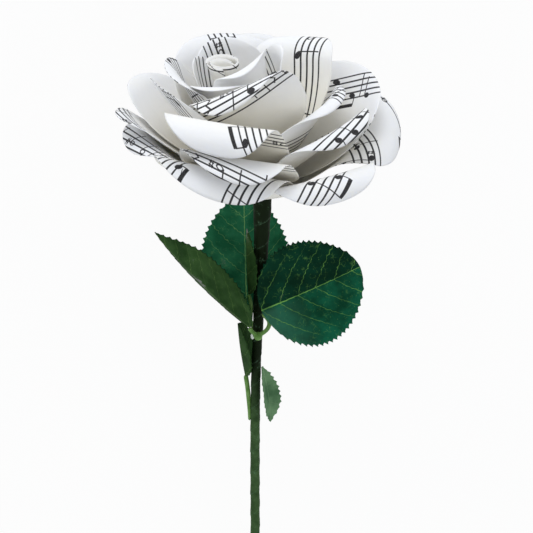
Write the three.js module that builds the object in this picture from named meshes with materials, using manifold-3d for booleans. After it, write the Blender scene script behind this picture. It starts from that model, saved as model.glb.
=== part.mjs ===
// Sheet music rose: curled paper petals round a rolled bud, on a taped wire stem with leaves.
// Millimetres, +Z up. The rose lies on its side, the way it comes to rest on a table:
// the stem runs along +Y towards the bloom, and the bloom rests on two of its back petals.
import * as THREE from "three";
import { mergeVertices } from "three/addons/utils/BufferGeometryUtils.js";
import Module from "manifold-3d";

// Bloom
const BLOOM_WIDTH = 88; // across the outermost petals
const BLOOM = BLOOM_WIDTH / 88; // the table of petals is written for a bloom 88 wide

// Paper
const PAPER = 0.25; // thickness of a petal with its glue
const EASE = 3.0 * BLOOM; // length over which a curl begins
const NARROWING = 0.72; // share of the width that a petal loses at its foot
const FOOT_GAP = 0.4; // from the core to the middle of the paper that is glued round it
const PETAL_BULGE = 13; // degrees by which a petal's wall leans out at its foot and in at its top

// Bud
const BUD_TURNS = 2.4;
const BUD_TOP_RADIUS = 5.4 * BLOOM;
const BUD_FOOT_RADIUS = 2.0;
const BUD_TOP_PITCH = 1.25 * BLOOM; // from one turn to the next at the rim
const BUD_FOOT_PITCH = 0.55;
const BUD_HEIGHT = 34.5 * BLOOM;
const BUD_LEAN = 0.3; // sideways lean, mm per mm of height
const BUD_START = 2.2; // radians: where the inner end of the roll shows
const BUD_STEPS = 34;

// Stem
const STEM_LENGTH = 200; // from the foot of the bloom to the cut end
const BEND = 2.4; // how far the wire is bent to the left
const BEND_LENGTH = 100; // from the foot of the bloom down to where the bend ends
const WIRE_RADIUS = 0.8;
const WIRE_FIT = 0.3; // room between wire and tape
const TAPE_RADIUS = 1.5;
const TAPE_LAP = 8.5; // from one turn of the tape to the next
const TAPE_STEP = 0.14; // height of the edge of each turn
const SWELLING_RADIUS = 2.9; // where the tape covers the glued feet of the petals
const SWELLING_LENGTH = 32;
const SWELLING_TOP = -0.6; // just under the foot of the lowest petal
const CORE_RADIUS = 1.95; // the taped wire inside the bloom
const CORE_HEIGHT = 8.7 * BLOOM;
const CORE_LEAN = 0.14;

// Leaves
const LEAF = 0.3; // thickness of a leaf
const TOOTH = 0.55; // depth of the teeth on a leaf's edge
const LEAF_FULLNESS = 0.58; // 1 is a leaf with pointed ends, 0 a square one
const STALK_RADIUS = 0.75;
const SEAT = 0.3; // room between a leaf's foot or a stalk and what carries it

const REST_HALF_WIDTH = 8; // the two petals that it lies on touch at least this far to each side

// Resolution
const PETAL_ACROSS = 6;
const PETAL_ALONG = 9;
const STEM_SIDES = 10;

const PAPER_WHITE = { color: 0xf3f1ea, roughness: 0.82, metalness: 0 };
const TAPE_GREEN = { color: 0x35492f, roughness: 0.72, metalness: 0 };
const STEEL = { color: 0x8b8d8c, roughness: 0.35, metalness: 1 };
const LEAF_GREEN = { color: 0x12503a, roughness: 0.55, metalness: 0 };
const LEAF_OLIVE = { color: 0x35502b, roughness: 0.7, metalness: 0 };
const STALK_GREEN = { color: 0x5f9a49, roughness: 0.5, metalness: 0 };
const GLUE = { color: 0xc9d6cf, roughness: 0.3, metalness: 0 };

const rad = THREE.MathUtils.degToRad;
const lerp = THREE.MathUtils.lerp;
const smooth = (t) => THREE.MathUtils.smoothstep(t, 0, 1);

// Petals, from the bud outwards, in the order in which they are glued on.
// side: degrees round the bloom, 0 to the right and -90 to the front
// reach and rise: where the wall ends and the curl begins, from the axis and from the foot
// width: of the flat petal; curl: degrees that its rim is rolled back, round a rod of this radius
// hollow and lip: how far the wall and the rim follow the round of the bloom, 0 is straight
// yaw: turns one edge out over its neighbour; roll: leans it sideways; skew: slants the curl
// lean: sideways lean of this layer of the bloom, mm per mm of height
const PETALS = [
  // name, side, reach, rise, width, curl, rod, hollow, lip, yaw, roll, skew, lean
  ["bud_petal_left", 163.4, 12.0, 40.3, 20.6, 6, 3.9, 0.80, 0.50, -3.1, -3.2, 0.00, 0.21],
  ["bud_petal_right", -62.6, 8.4, 42.4, 30.1, 107, 3.6, 0.70, 0.20, 16.4, 0.1, 0.28, 0.16],
  ["inner_petal_right", 20.0, 11.1, 41.5, 22.4, 57, 3.3, 0.70, 0.30, -1.9, 2.5, 0.01, 0.12],
  ["inner_petal_front", -106.6, 11.8, 36.2, 29.5, 98, 5.1, 0.70, 0.30, 11.7, 1.0, 0.12, 0.18],
  ["inner_petal_back", 108.5, 15.6, 39.9, 31.9, 31, 5.0, 0.80, 0.50, 8.5, 0.7, 0.00, 0.17],
  ["inner_petal_left", -168.1, 17.6, 37.1, 36.6, 60, 5.8, 0.70, 0.40, 6.7, -2.2, -0.19, 0.16],
  ["collar_petal_front", -80.7, 20.4, 42.2, 40.9, 135, 4.2, 0.40, 0.10, -0.5, -2.5, 0.37, 0.14],
  ["tall_petal_back_right", 53.2, 21.1, 35.4, 31.2, 101, 6.3, 0.80, 0.50, 24.1, 0.2, -0.05, 0.09],
  ["tall_petal_back_left", 111.5, 22.7, 35.0, 46.7, 54, 6.9, 0.80, 0.50, -9.9, -2.9, -0.01, 0.11],
  ["middle_petal_left", -151.0, 25.3, 38.3, 40.3, 17, 8.0, 0.60, 0.40, 4.2, 1.2, -0.01, 0.16],
  ["middle_petal_right", -25.0, 19.7, 30.0, 48.4, 116, 3.0, 0.30, 0.10, -4.1, -2.0, -0.08, 0.06],
  ["middle_petal_front", -99.3, 34.6, 38.2, 40.4, 183, 5.1, 0.25, 0.10, -7.8, 0.5, -0.03, 0.16],
  ["side_petal_right", -39.4, 28.0, 28.1, 45.4, 140, 3.3, 0.30, 0.10, -3.5, -4.9, -0.04, 0.04],
  ["middle_petal_back", 88.7, 28.6, 33.2, 43.9, 40, 7.0, 0.80, 0.50, 4.9, 0.8, 0.00, 0.12],
  ["wide_petal_right", 28.0, 34.3, 28.5, 54.9, 22, 7.9, 0.80, 0.60, -8.0, -4.9, 0.01, 0.00],
  ["wide_petal_left_back", 157.9, 34.0, 26.2, 35.4, 35, 9.0, 0.70, 0.50, -2.8, -5.5, -0.01, 0.13],
  ["narrow_petal_left", -164.2, 33.7, 25.7, 33.0, 42, 7.9, 0.60, 0.50, 7.5, -4.7, -0.02, 0.14],
  ["lower_petal_front", -95.3, 36.4, 28.7, 39.6, 126, 5.8, 0.25, 0.10, -9.8, -1.1, -0.14, 0.14],
  ["lower_petal_back", 82.4, 36.8, 24.1, 42.5, 54, 8.1, 0.70, 0.40, 0.4, 0.1, 0.00, 0.12],
  ["outer_petal_left", -161.0, 29.0, 19.5, 35.6, 94, 6.2, 0.40, 0.10, 3.6, -2.1, -0.03, 0.14],
  ["outer_petal_back_left", 118.0, 36.0, 18.0, 44.0, 75, 8.0, 0.60, 0.20, 0.0, 0.0, 0.00, 0.12],
  ["outer_petal_right", 8.2, 27.7, 16.2, 50.9, 117, 8.3, 0.70, 0.60, -9.8, 2.7, 0.19, -0.03],
  ["outer_petal_front_left", -106.0, 34.0, 23.2, 46.2, 134, 6.1, 0.30, 0.10, 0.9, 1.5, -0.19, 0.14],
  ["outer_petal_back_right", 83.5, 37.0, 16.1, 42.1, 85, 8.1, 0.60, 0.20, 0.4, 0.0, 0.00, 0.12],
  ["outer_petal_front_right", -58.8, 35.8, 19.3, 46.6, 158, 4.2, 0.30, 0.10, 0.0, 1.3, -0.02, 0.13],
].map((row) => {
  const [name, side, reach, rise, width, curl, rod, hollow, lip, yaw, roll, skew, lean] = row;
  const size = { reach: reach * BLOOM, rise: rise * BLOOM, width: width * BLOOM, rod: rod * BLOOM };
  return { name, side, ...size, curl, hollow, lip, yaw, roll, skew, lean };
});

// The petals' feet share the core: each is glued on this much lower than the one before.
const FOOT_STEP = (CORE_HEIGHT + SEAT) / (PETALS.length - 1);

// Closed solid of an even thickness: the flat faces of a box are moved onto a curved sheet.
// outline(a, b) cuts the flat sheet, with a and b from -1 to 1; surface(p, q) then curves it.
function sheetSolid(outline, surface, thickness, across, along) {
  const box = new THREE.BoxGeometry(2, 2, 2, across, along, 1);
  box.deleteAttribute("normal");
  box.deleteAttribute("uv");
  const sheet = mergeVertices(box);
  const points = sheet.attributes.position;
  const nudge = 0.01;
  for (let i = 0; i < points.count; i += 1) {
    const [p, q] = outline(points.getX(i), points.getY(i));
    const acrossSheet = surface(p + nudge, q).sub(surface(p - nudge, q));
    const alongSheet = surface(p, q + nudge).sub(surface(p, q - nudge));
    const normal = acrossSheet.cross(alongSheet).normalize();
    const place = surface(p, q).addScaledVector(normal, points.getZ(i) * thickness / 2);
    points.setXYZ(i, place.x, place.y, place.z);
  }
  return sheet;
}

function named(name, geometry, look) {
  const mesh = new THREE.Mesh(geometry, new THREE.MeshStandardMaterial(look));
  mesh.name = name;
  return mesh;
}

// A petal: p is across and q is along the flat paper, from its foot to its rim.
function petalSolid(petal, index) {
  const { side, reach, rise, width, curl, rod, hollow, lip, yaw, roll, skew, lean } = petal;
  const footRadius = CORE_RADIUS + FOOT_GAP;
  const footHeight = (PETALS.length - 1 - index) * FOOT_STEP;
  const bulge = rad(PETAL_BULGE);
  const wallAngle = Math.atan2(reach - footRadius, rise - footHeight);
  const wallChord = Math.hypot(reach - footRadius, rise - footHeight);
  const wall = wallChord * bulge / Math.sin(bulge);
  const length = wall + EASE / 2 + rod * rad(curl);

  const slope = (p, q) => {
    const past = q - wall - skew * p;
    const upright = wallAngle + bulge * (1 - 2 * Math.min(q / wall, 1));
    if (past <= 0) return upright;
    if (past < EASE) return upright + past * past / (2 * EASE * rod);
    return upright + (past - EASE / 2) / rod;
  };

  const surface = (p, q) => {
    const steps = 24;
    let out = footRadius;
    let up = 0;
    for (let i = 0; i < steps; i += 1) {
      const angle = slope(p, (i + 0.5) * q / steps);
      out += Math.sin(angle) * q / steps;
      up += Math.cos(angle) * q / steps;
    }
    const grown = smooth(q / wall);
    const curled = smooth((q - wall) / (length - wall));
    const follow = lerp(lerp(1, hollow, grown), lip, curled);
    const bend = follow / Math.max(out, 2) + 1e-6;
    const across = Math.sin(bend * p) / bend;
    const inward = (1 - Math.cos(bend * p)) / bend;
    const turn = rad(yaw) * smooth(0.1 + 0.9 * q / wall);
    const radial = out - across * Math.sin(turn) - inward * Math.cos(turn);
    const sideways = across * Math.cos(turn) - inward * Math.sin(turn);
    const tip = rad(roll);
    const tangent = sideways * Math.cos(tip) + up * Math.sin(tip);
    const height = footHeight - sideways * Math.sin(tip) + up * Math.cos(tip);
    const angle = rad(side);
    const x = radial * Math.cos(angle) - tangent * Math.sin(angle);
    const y = radial * Math.sin(angle) + tangent * Math.cos(angle);
    return new THREE.Vector3(x - lean * height, y, height);
  };

  const outline = (a, b) => {
    const spread = -1 + 2 * ((b + 1) / 2) ** 0.85;
    const roundA = 0.9 * a * Math.sqrt(1 - spread * spread / 2) + 0.1 * a;
    const roundB = 0.9 * spread * Math.sqrt(1 - a * a / 2) + 0.1 * spread;
    const narrowing = 1 - NARROWING * ((1 - roundB) / 2) ** 2;
    return [width / 2 * roundA * narrowing, length * (1 + roundB) / 2];
  };
  return sheetSolid(outline, surface, PAPER, PETAL_ACROSS, PETAL_ALONG);
}

// The bud is one strip rolled up, tighter at its foot than at its rim.
function budSolid() {
  const start = CORE_HEIGHT + SEAT;
  const outline = (a, b) => [(a + 1) / 2 * BUD_TURNS, (b + 1) / 2];
  const surface = (turns, up) => {
    const angle = turns * 2 * Math.PI + BUD_START;
    const pitch = lerp(BUD_FOOT_PITCH, BUD_TOP_PITCH, up);
    const rim = lerp(BUD_FOOT_RADIUS, BUD_TOP_RADIUS, up);
    const radius = rim - pitch * (BUD_TURNS - turns);
    const middle = -CORE_LEAN * start - BUD_LEAN * up * BUD_HEIGHT;
    const height = start + up * BUD_HEIGHT;
    return new THREE.Vector3(middle + radius * Math.cos(angle), radius * Math.sin(angle), height);
  };
  return sheetSolid(outline, surface, PAPER, BUD_STEPS, 4);
}

// The stem's middle line, from the cut end up into the bloom.
const STEM_LINE = new THREE.CatmullRomCurve3([
  new THREE.Vector3(-BEND, 0, -STEM_LENGTH),
  new THREE.Vector3(-BEND, 0, -(STEM_LENGTH + BEND_LENGTH) / 2),
  new THREE.Vector3(-BEND, 0, -BEND_LENGTH),
  new THREE.Vector3(-0.92 * BEND, 0, -0.76 * BEND_LENGTH),
  new THREE.Vector3(-0.75 * BEND, 0, -0.6 * BEND_LENGTH),
  new THREE.Vector3(-0.42 * BEND, 0, -0.45 * BEND_LENGTH),
  new THREE.Vector3(-0.04 * BEND, 0, -0.26 * BEND_LENGTH),
  new THREE.Vector3(0, 0, -0.1 * BEND_LENGTH),
  new THREE.Vector3(0, 0, 0),
  new THREE.Vector3(-CORE_LEAN * CORE_HEIGHT, 0, CORE_HEIGHT),
]);

// The point of the stem's middle line at a height above the foot of the bloom.
function stemAt(height) {
  let low = 0;
  let high = 1;
  for (let i = 0; i < 40; i += 1) {
    const middle = (low + high) / 2;
    if (STEM_LINE.getPoint(middle).z < height) low = middle;
    else high = middle;
  }
  return STEM_LINE.getPoint(low);
}

// A point that is placed from the stem's middle line, so it follows the stem's bend.
function byStem(right, back, height) {
  return [stemAt(height).x + right, back, height];
}

function tapeRadius(height) {
  const swell = smooth((height + SWELLING_LENGTH) / SWELLING_LENGTH);
  return lerp(TAPE_RADIUS, SWELLING_RADIUS, swell);
}

// A turned profile of [radius, height] pairs, moved over to the stem's middle line.
// slant: how far each row climbs from one side of the stem to the other
function onStem(profile, slant) {
  const points = profile.map(([radius, height]) => new THREE.Vector2(radius, height));
  const turned = new THREE.LatheGeometry(points, STEM_SIDES);
  turned.rotateX(Math.PI / 2);
  turned.deleteAttribute("normal");
  turned.deleteAttribute("uv");
  const solid = mergeVertices(turned, 1e-5);
  const places = solid.attributes.position;
  for (let i = 0; i < places.count; i += 1) {
    const x = places.getX(i);
    const y = places.getY(i);
    const height = places.getZ(i);
    const inTape = height > -STEM_LENGTH + 0.01 && height < -TAPE_LAP / 2;
    const edge = inTape ? slant * x / TAPE_RADIUS : 0;
    const middle = stemAt(height + edge);
    places.setXYZ(i, middle.x + x, middle.y + y, height + edge);
  }
  return solid;
}

// The heights at which the wire and the bore round it follow the stem's bend.
function boreRows(top) {
  return [top, -0.25 * BEND_LENGTH, -0.5 * BEND_LENGTH, -0.75 * BEND_LENGTH, -STEM_LENGTH];
}

// The tape is wound up the wire: each turn laps the one below and leaves a slanting edge.
function tapeSolid() {
  const bore = WIRE_RADIUS + WIRE_FIT;
  const profile = [];
  profile.push([0, CORE_HEIGHT - 2 * WIRE_FIT]);
  for (const height of boreRows(CORE_HEIGHT - 2 * WIRE_FIT)) profile.push([bore, height]);
  profile.push([TAPE_RADIUS, -STEM_LENGTH]);
  const laps = Math.floor((STEM_LENGTH - TAPE_LAP) / TAPE_LAP);
  for (let lap = 0; lap < laps; lap += 1) {
    const low = -STEM_LENGTH + TAPE_LAP * (lap + 0.8);
    profile.push([tapeRadius(low), low]);
    profile.push([tapeRadius(low) + TAPE_STEP, low + 0.35]);
  }
  profile.push([SWELLING_RADIUS, SWELLING_TOP - 1.4]);
  profile.push([SWELLING_RADIUS - 0.2, SWELLING_TOP]);
  profile.push([CORE_RADIUS, SWELLING_TOP]);
  profile.push([CORE_RADIUS, CORE_HEIGHT]);
  profile.push([0, CORE_HEIGHT]);
  return onStem(profile, TAPE_LAP / 4);
}

function wireSolid() {
  const top = CORE_HEIGHT - 3 * WIRE_FIT;
  const profile = [[0, -STEM_LENGTH]];
  for (const height of boreRows(top).reverse()) profile.push([WIRE_RADIUS, height]);
  profile.push([0, top]);
  return onStem(profile, 0);
}

// A leaf in its own frame: its foot at 0, its midrib along +Y, its upper face up.
function leafSolid({ length, width, fold, droop, teeth }) {
  const rows = 2 * teeth;
  const outline = (a, b) => {
    const along = (b + 1) / 2;
    const round = Math.sin(Math.PI * along ** 0.9) ** LEAF_FULLNESS;
    const half = Math.max(width / 2 * round, STALK_RADIUS * 0.8);
    const onEdge = Math.abs(a) > 0.99 && along > 0.08 && along < 0.99;
    const tooth = onEdge && Math.round(along * rows) % 2 === 1 ? TOOTH : 0;
    return [a * half + Math.sign(a) * tooth, along * length];
  };
  const surface = (p, q) => {
    const bend = rad(droop) / length + 1e-9;
    const rise = Math.tan(rad(fold)) * (Math.sqrt(p * p + 0.25) - 0.5);
    const y = (Math.sin(bend * q) / bend) + rise * Math.sin(bend * q);
    const z = -(1 - Math.cos(bend * q)) / bend + rise * Math.cos(bend * q);
    return new THREE.Vector3(p, y, z);
  };
  return sheetSolid(outline, surface, LEAF, 2, rows);
}

// Puts a leaf's foot at a point, its midrib along one direction and its face towards another.
function placeLeaf(mesh, foot, along, facing) {
  const y = new THREE.Vector3(...along).normalize();
  const x = y.clone().cross(new THREE.Vector3(...facing)).normalize();
  const z = x.clone().cross(y);
  mesh.quaternion.setFromRotationMatrix(new THREE.Matrix4().makeBasis(x, y, z));
  mesh.position.set(...foot);
  return mesh;
}

const wasm = await Module();
wasm.setup();

function toSolid(geometry) {
  const clean = geometry.clone();
  clean.deleteAttribute("normal");
  clean.deleteAttribute("uv");
  const merged = mergeVertices(clean, 1e-5);
  const vertProperties = new Float32Array(merged.attributes.position.array);
  const triVerts = new Uint32Array(merged.index.array);
  return new wasm.Manifold(new wasm.Mesh({ numProp: 3, vertProperties, triVerts }));
}

function joined(geometries) {
  let whole = toSolid(geometries[0]);
  for (const next of geometries.slice(1)) whole = whole.add(toSolid(next));
  const mesh = whole.getMesh();
  const geometry = new THREE.BufferGeometry();
  geometry.setAttribute("position", new THREE.BufferAttribute(mesh.vertProperties, 3));
  geometry.setIndex(new THREE.BufferAttribute(mesh.triVerts, 1));
  return geometry;
}

// A round stalk along a smooth line through points.
function stalk(points, radius, steps) {
  const circle = new THREE.Shape().absarc(0, 0, radius, 0, 2 * Math.PI);
  const line = new THREE.CatmullRomCurve3(points.map((point) => new THREE.Vector3(...point)));
  return new THREE.ExtrudeGeometry(circle, { steps, curveSegments: 4, extrudePath: line });
}

const bloom = new THREE.Group();
bloom.add(named("bud", budSolid(), PAPER_WHITE));
PETALS.forEach((petal, index) => {
  bloom.add(named(petal.name, petalSolid(petal, index), PAPER_WHITE));
});

const stem = new THREE.Group();
stem.add(named("stem_wire", wireSolid(), STEEL));
stem.add(named("stem_tape", tapeSolid(), TAPE_GREEN));

const KNOT_HEIGHT = -50.8; // where the two front stalks meet
const KNOT_RADIUS = 1.2;
const LOW_STALK_FOOT = -82; // where the stalk of the small leaf leaves the tape

// The leaves, each with its foot, its midrib's direction and the way its upper face looks.
const LEAVES = [
  {
    name: "leaf_right",
    look: LEAF_GREEN,
    size: { length: 34, width: 33, fold: 14, droop: 18, teeth: 22 },
    foot: byStem(0.55, -4.9, KNOT_HEIGHT + 10.6),
    along: [28.3, 0.2, 13.1],
    facing: [0, -0.96, 0.28],
  },
  {
    name: "leaf_left",
    look: LEAF_GREEN,
    size: { length: 42, width: 27, fold: 16, droop: -12, teeth: 22 },
    foot: byStem(-3.32, -4.2, KNOT_HEIGHT + 4.3),
    along: [-32, 11, 24],
    facing: [0.62, 0.64, 0.45],
  },
  {
    name: "leaf_back",
    look: LEAF_GREEN,
    size: { length: 38, width: 27, fold: 12, droop: 10, teeth: 20 },
    foot: byStem(-3.8, 6.0, KNOT_HEIGHT + 2.8),
    along: [-0.9, 18.5, 30],
    facing: [0, -0.87, 0.5],
  },
  {
    name: "leaf_beside_stem",
    look: LEAF_OLIVE,
    size: { length: 22, width: 14, fold: 20, droop: -6, teeth: 10 },
    foot: byStem(-3.72, 0.4, KNOT_HEIGHT + 13.8),
    along: [-1.4, 2, 19],
    facing: [1, 0.1, 0.05],
  },
  {
    name: "small_leaf_left",
    look: LEAF_OLIVE,
    size: { length: 18.5, width: 13, fold: 30, droop: -8, teeth: 9 },
    foot: byStem(-3.36, 0.2, LOW_STALK_FOOT + 14.4),
    along: [-3.4, 2, 17],
    facing: [1, -0.05, 0.15],
  },
  {
    name: "small_leaf_right",
    look: LEAF_OLIVE,
    size: { length: 20, width: 9.5, fold: 16, droop: 16, teeth: 10 },
    foot: byStem(2.1, -0.7, LOW_STALK_FOOT + 18),
    along: [4.2, -3.5, -17],
    facing: [0.62, -0.75, 0.2],
  },
];
const foliage = new THREE.Group();
for (const { name, look, size, foot, along, facing } of LEAVES) {
  foliage.add(placeLeaf(named(name, leafSolid(size), look), foot, along, facing));
}

// The stalks lie against the tape: this is how far a stalk's middle is from the stem's.
const STALK_OFFSET = TAPE_RADIUS + TAPE_STEP + SEAT + STALK_RADIUS;
const knotMiddle = [stemAt(KNOT_HEIGHT).x, -(STALK_OFFSET + KNOT_RADIUS - STALK_RADIUS), KNOT_HEIGHT];
const knot = new THREE.SphereGeometry(KNOT_RADIUS, 10, 7);
knot.translate(...knotMiddle);
foliage.add(named("leaf_stalks_front", joined([
  knot,
  stalk([
    knotMiddle,
    byStem(-1.79, -3.9, KNOT_HEIGHT + 2),
    byStem(-2.88, -4.3, KNOT_HEIGHT + 3.6),
  ], STALK_RADIUS, 3),
  stalk([
    knotMiddle,
    byStem(2.4, -3.6, KNOT_HEIGHT + 3.4),
    byStem(2.6, -3.8, KNOT_HEIGHT + 6.2),
    byStem(1.0, -4.45, KNOT_HEIGHT + 9.2),
  ], STALK_RADIUS, 5),
]), STALK_GREEN));
foliage.add(named("leaf_stalk_back", stalk([
  byStem(0, STALK_OFFSET, KNOT_HEIGHT - 9.2),
  byStem(0, STALK_OFFSET + 0.1, KNOT_HEIGHT - 3.2),
  byStem(-2.09, 4.4, KNOT_HEIGHT + 0.2),
  byStem(-3.6, 5.75, KNOT_HEIGHT + 2.1),
], STALK_RADIUS, 6), STALK_GREEN));
foliage.add(named("leaf_stalk_beside_stem", stalk([
  byStem(-0.94 * STALK_OFFSET, 0.34 * STALK_OFFSET, KNOT_HEIGHT + 2.8),
  byStem(-0.97 * STALK_OFFSET, 0.24 * STALK_OFFSET, KNOT_HEIGHT + 8.8),
  byStem(-3.62, 0.3, KNOT_HEIGHT + 13.3),
], STALK_RADIUS * 0.8, 5), STALK_GREEN));
foliage.add(named("small_leaf_stalk", stalk([
  byStem(-STALK_OFFSET, 0, LOW_STALK_FOOT),
  byStem(-STALK_OFFSET, 0, LOW_STALK_FOOT + 7),
  byStem(-STALK_OFFSET - 0.3, 0, LOW_STALK_FOOT + 11),
  byStem(-3.24, 0.2, LOW_STALK_FOOT + 13.95),
], STALK_RADIUS, 6), STALK_GREEN));

// A drop of set glue between the knot and the tape.
const GLUE_RADIUS = 0.6;
const glue = new THREE.SphereGeometry(GLUE_RADIUS, 10, 7);
glue.scale(1, 1, 2.2);
const glueDrop = named("glue_drop", glue, GLUE);
glueDrop.position.set(knotMiddle[0] - 1.75, -2.0, KNOT_HEIGHT - 0.6);
foliage.add(glueDrop);

const rose = new THREE.Group();
rose.add(bloom, stem, foliage);

// Lies down: the rose turns until the stem's end and two petals touch one plane, which is z = 0.
function layDown(group) {
  group.updateMatrixWorld(true);
  const points = [];
  group.traverse((mesh) => {
    if (!mesh.isMesh) return;
    const places = mesh.geometry.attributes.position;
    for (let i = 0; i < places.count; i += 1) {
      points.push(new THREE.Vector3().fromBufferAttribute(places, i).applyMatrix4(mesh.matrixWorld));
    }
  });
  let up = new THREE.Vector3(0, -1, 0.2).normalize();
  let right = new THREE.Vector3(1, 0, 0);
  const lowest = (test) => {
    const some = points.filter(test);
    return some.reduce((best, point) => (point.dot(up) < best.dot(up) ? point : best));
  };
  for (let round = 0; round < 12; round += 1) {
    const end = lowest((point) => point.z < -STEM_LENGTH / 2);
    const left = lowest((point) => point.z > 0 && point.dot(right) < -REST_HALF_WIDTH);
    const other = lowest((point) => point.z > 0 && point.dot(right) > REST_HALF_WIDTH);
    const flat = other.clone().sub(left).cross(left.clone().sub(end)).normalize();
    up = flat.y < 0 ? flat : flat.negate();
    right = new THREE.Vector3(0, 0, 1).cross(up).normalize();
  }
  const towardsBloom = up.clone().cross(right);
  const turn = new THREE.Matrix4().makeBasis(right, towardsBloom, up).transpose();
  group.quaternion.setFromRotationMatrix(turn);
  const turned = points.map((point) => point.clone().applyQuaternion(group.quaternion));
  const box = new THREE.Box3().setFromPoints(turned);
  group.position.set(-(box.min.x + box.max.x) / 2, -(box.min.y + box.max.y) / 2, -box.min.z);
}
layDown(rose);

export default rose;
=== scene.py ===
# %% [markdown]
# # Sheet music rose
# A paper flower: petals cut from printed sheet music, curled and glued one by one round a
# rolled bud, on a wire stem wound with green floral tape, with moulded cloth leaves.
# The real maker works in that order too, so this scene does: the way the rose lies, the petals
# and the bud, the print and the paper, the stem, the leaves with their stalks, and then the
# studio. Everything is in metres inside Blender; the numbers of the maker are in millimetres.

# %% Set up
import math
from functools import partial

import bmesh
import bpy
from mathutils import Matrix, Quaternion, Vector


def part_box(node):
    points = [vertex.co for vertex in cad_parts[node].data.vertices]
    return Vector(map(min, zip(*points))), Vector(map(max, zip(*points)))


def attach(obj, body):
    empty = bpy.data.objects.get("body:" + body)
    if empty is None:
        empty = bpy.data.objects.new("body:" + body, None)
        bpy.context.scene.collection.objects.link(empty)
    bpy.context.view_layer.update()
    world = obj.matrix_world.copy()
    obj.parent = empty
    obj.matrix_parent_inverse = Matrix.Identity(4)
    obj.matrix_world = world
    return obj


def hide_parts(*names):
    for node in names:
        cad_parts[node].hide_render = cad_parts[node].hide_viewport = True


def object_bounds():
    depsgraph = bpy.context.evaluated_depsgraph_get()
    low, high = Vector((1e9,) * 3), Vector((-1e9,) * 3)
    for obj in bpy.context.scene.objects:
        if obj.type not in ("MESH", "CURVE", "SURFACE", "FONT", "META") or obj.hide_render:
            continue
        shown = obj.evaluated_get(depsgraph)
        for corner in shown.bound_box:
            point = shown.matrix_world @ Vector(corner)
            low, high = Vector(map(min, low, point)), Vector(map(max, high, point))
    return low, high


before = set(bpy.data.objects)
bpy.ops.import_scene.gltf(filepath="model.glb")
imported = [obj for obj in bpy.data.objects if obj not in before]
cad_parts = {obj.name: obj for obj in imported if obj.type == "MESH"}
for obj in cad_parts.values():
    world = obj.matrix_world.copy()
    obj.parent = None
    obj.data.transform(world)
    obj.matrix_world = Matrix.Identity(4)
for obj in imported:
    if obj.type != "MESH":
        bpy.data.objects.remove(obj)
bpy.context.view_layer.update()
MM = 0.001

# %% [markdown]
# ## The way it lies
# The rose was designed upright, with its foot at the origin and its stem straight down, and
# then laid down until two back petals and the end of the stem touch the table. All pieces are
# shaped upright here as well and then go through the same turn, so they land where the CAD is.

# %% Lay down
REST_TURN = Quaternion((0.76306372, -0.62210714, -0.11074532, -0.13583791))
REST_PLACE = Vector((-0.8161, 74.5545, 42.5902))
LAY_DOWN = Matrix.Scale(MM, 4) @ Matrix.Translation(REST_PLACE) @ REST_TURN.to_matrix().to_4x4()


def lay_down(point):
    return LAY_DOWN @ Vector(point)


def direction_at_rest(direction):
    return (REST_TURN @ Vector(direction)).normalized()


print("the stem's cut end lies at", [round(v / MM, 1) for v in lay_down((-2.4, 0, -200))])


def lerp(a, b, t):
    return a + (b - a) * t


def smooth(t):
    t = min(1.0, max(0.0, t))
    return t * t * (3 - 2 * t)


# %% [markdown]
# ## Pieces and how they join the frame
# Each piece is one mesh that takes the place of one CAD node. A mesh starts as a flat grid,
# as the real piece starts as a flat sheet, and a rule moves each point of it into place.

# %% Make a piece
MERGE_WITHIN = 0.002  # mm, joins the grid's ends where a piece closes on itself


def finish_piece(name, mesh, materials):
    piece = bpy.data.objects.new(name + "_look", mesh)
    bpy.context.scene.collection.objects.link(piece)
    for material in materials:
        mesh.materials.append(material)
    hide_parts(name)
    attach(piece, "root")
    return piece


def finish_mesh(name, bm):
    """The smooth mesh that bm holds."""
    for face in bm.faces:
        face.smooth = True
    mesh = bpy.data.meshes.new(name)
    bm.to_mesh(mesh)
    bm.free()
    return mesh


def bend_grid(name, across, along, rule, maps=()):
    """A grid whose points go from (a, b), each -1 to 1, to rule(a, b) in upright millimetres."""
    bm = bmesh.new()
    bmesh.ops.create_grid(bm, x_segments=across, y_segments=along, size=1)
    flat = {}
    for vert in bm.verts:
        flat[vert.index] = (vert.co.x, vert.co.y)
    for map_name, place in maps:
        layer = bm.loops.layers.uv.new(map_name)
        for face in bm.faces:
            for loop in face.loops:
                loop[layer].uv = place(*flat[loop.vert.index])
    for vert in bm.verts:
        vert.co = lay_down(rule(*flat[vert.index]))
    bmesh.ops.remove_doubles(bm, verts=bm.verts, dist=MERGE_WITHIN * MM)
    return finish_mesh(name, bm)


def thicken(piece, thickness):
    """Makes the sheet solid to both sides of the grid. Its second material goes on the far side."""
    solid = piece.modifiers.new("paper thickness", "SOLIDIFY")
    solid.thickness = thickness * MM
    solid.offset = 0
    solid.use_even_offset = False
    solid.material_offset = 1


def fits(piece, name):
    """How far the piece reaches past its CAD node, in mm, for the printout."""
    bpy.context.view_layer.update()
    shape = piece.evaluated_get(bpy.context.evaluated_depsgraph_get())
    low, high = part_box(name)
    corners = [Vector(corner) for corner in shape.bound_box]
    over = 0.0
    for axis in range(3):
        over = max(over, low[axis] - min(c[axis] for c in corners))
        over = max(over, max(c[axis] for c in corners) - high[axis])
    return over / MM


# %% [markdown]
# ## Node tools
# The materials below are small sums of distances, such as the distance to a staff line. These
# few helpers write one such sum per line.

# %% Node helpers
def calculate(tree, operation, *values):
    node = tree.nodes.new("ShaderNodeMath")
    node.operation = operation
    for socket, value in zip(node.inputs, values):
        if isinstance(value, (int, float)):
            socket.default_value = value
        else:
            tree.links.new(value, socket)
    return node.outputs[0]


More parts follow.
